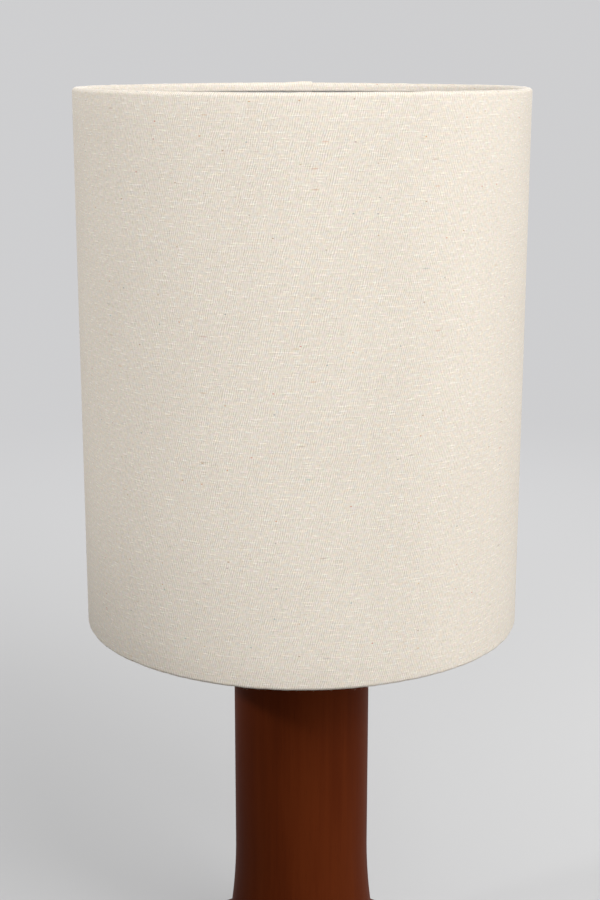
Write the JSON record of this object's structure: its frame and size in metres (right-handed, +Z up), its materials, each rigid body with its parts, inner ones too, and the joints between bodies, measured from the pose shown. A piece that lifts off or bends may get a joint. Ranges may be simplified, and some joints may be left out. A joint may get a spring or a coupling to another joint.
{
  "type": "column table lamp",
  "caption": "Table lamp with a wide turned wooden column on a coved foot and a tall linen drum shade carried by a harp and recessed spider.",
  "frame": {"origin": "on the table under the centre of the foot, at the middle of the bounding box", "axes": "+Z up the column's axis, -Y to the front, +Y to the back where the cord leaves and the shade's seam is, +X to the right seen from the front"},
  "size_m": [0.356, 0.3568, 0.778],
  "materials": {
    "felt": "matt pressed felt",
    "stained_wood": "dark red-brown stain under a satin lacquer",
    "iron": "as cast",
    "zinc_steel": "zinc plated",
    "bushing_plastic": "moulded dark brown",
    "brass": "satin brass with a light tarnish",
    "insulating_card": "pressed fibre",
    "phenolic": "moulded phenolic",
    "screw_shell_metal": "rolled",
    "linen": "slub linen, oatmeal",
    "lining": "matt white styrene",
    "ring_wire": "white powder coat",
    "shaft_steel": "bright drawn",
    "frosted_glass": "inside frosted",
    "clear_glass": "clear",
    "black_glass": "black vitreous"
  },
  "bodies": {
    "root": {"felt_pad": "felt", "foot": "stained_wood", "column": "stained_wood", "base_weight": "iron", "lamp_pipe": "zinc_steel", "base_washer": "zinc_steel", "lock_washer": "zinc_steel", "base_nut": "zinc_steel", "cord_bushing": "bushing_plastic", "column_cap": "brass", "neck": "brass", "harp_saddle": "brass", "socket_cap": "brass", "cap_insulator": "insulating_card", "socket_shell": "brass", "shell_insulator": "insulating_card", "socket_core": "phenolic", "screw_shell": "screw_shell_metal", "centre_contact": "brass", "terminal_screws": "brass", "set_screw": "zinc_steel"},
    "harp": {"harp_hoop": "brass", "harp_bracket": "brass"},
    "sleeve_left": {"sleeve_left": "brass"},
    "sleeve_right": {"sleeve_right": "brass"},
    "stud": {"harp_stud": "brass"},
    "shade": {"shade_cloth": "linen", "shade_liner": "lining", "shade_top_ring": "ring_wire", "shade_bottom_ring": "ring_wire", "shade_top_hem": "linen", "shade_bottom_hem": "linen", "shade_seam": "linen", "spider_arms": "brass", "spider_hub": "brass"},
    "finial": {"finial": "brass"},
    "switch": {"switch_shaft": "shaft_steel", "switch_cam": "phenolic", "switch_knob": "phenolic"},
    "bulb": {"bulb_glass": "frosted_glass", "bulb_base": "screw_shell_metal", "bulb_insulator": "black_glass", "bulb_contact": "shaft_steel", "bulb_stem": "clear_glass", "bulb_filament": "shaft_steel"}
  },
  "joints": [
    {"name": "harp_lift", "type": "slide", "parent": "root", "child": "harp", "axis": [0, 0, 1], "range_m": [0, 0.14]},
    {"name": "sleeve_left_slide", "type": "slide", "parent": "harp", "child": "sleeve_left", "axis": [0, 0, 1], "range_m": [0, 0.012]},
    {"name": "sleeve_right_slide", "type": "slide", "parent": "harp", "child": "sleeve_right", "axis": [0, 0, 1], "range_m": [0, 0.012]},
    {"name": "shade_turn", "type": "hinge", "parent": "harp", "child": "stud", "pos_m": [0, 0, 0.752], "axis": [0, 0, 1], "continuous": true},
    {"name": "shade_lift", "type": "slide", "parent": "stud", "child": "shade", "axis": [0, 0, 1], "range_m": [0, 0.44]},
    {"name": "finial_turn", "type": "hinge", "parent": "shade", "child": "finial", "pos_m": [0, 0, 0.76], "axis": [0, 0, 1], "continuous": true},
    {"name": "switch_turn", "type": "hinge", "parent": "root", "child": "switch", "pos_m": [0, -0.02, 0.47495], "axis": [0, -1, 0], "continuous": true},
    {"name": "bulb_turn", "type": "hinge", "parent": "root", "child": "bulb", "pos_m": [0, 0, 0.5], "axis": [0, 0, 1], "continuous": true}
  ]
}
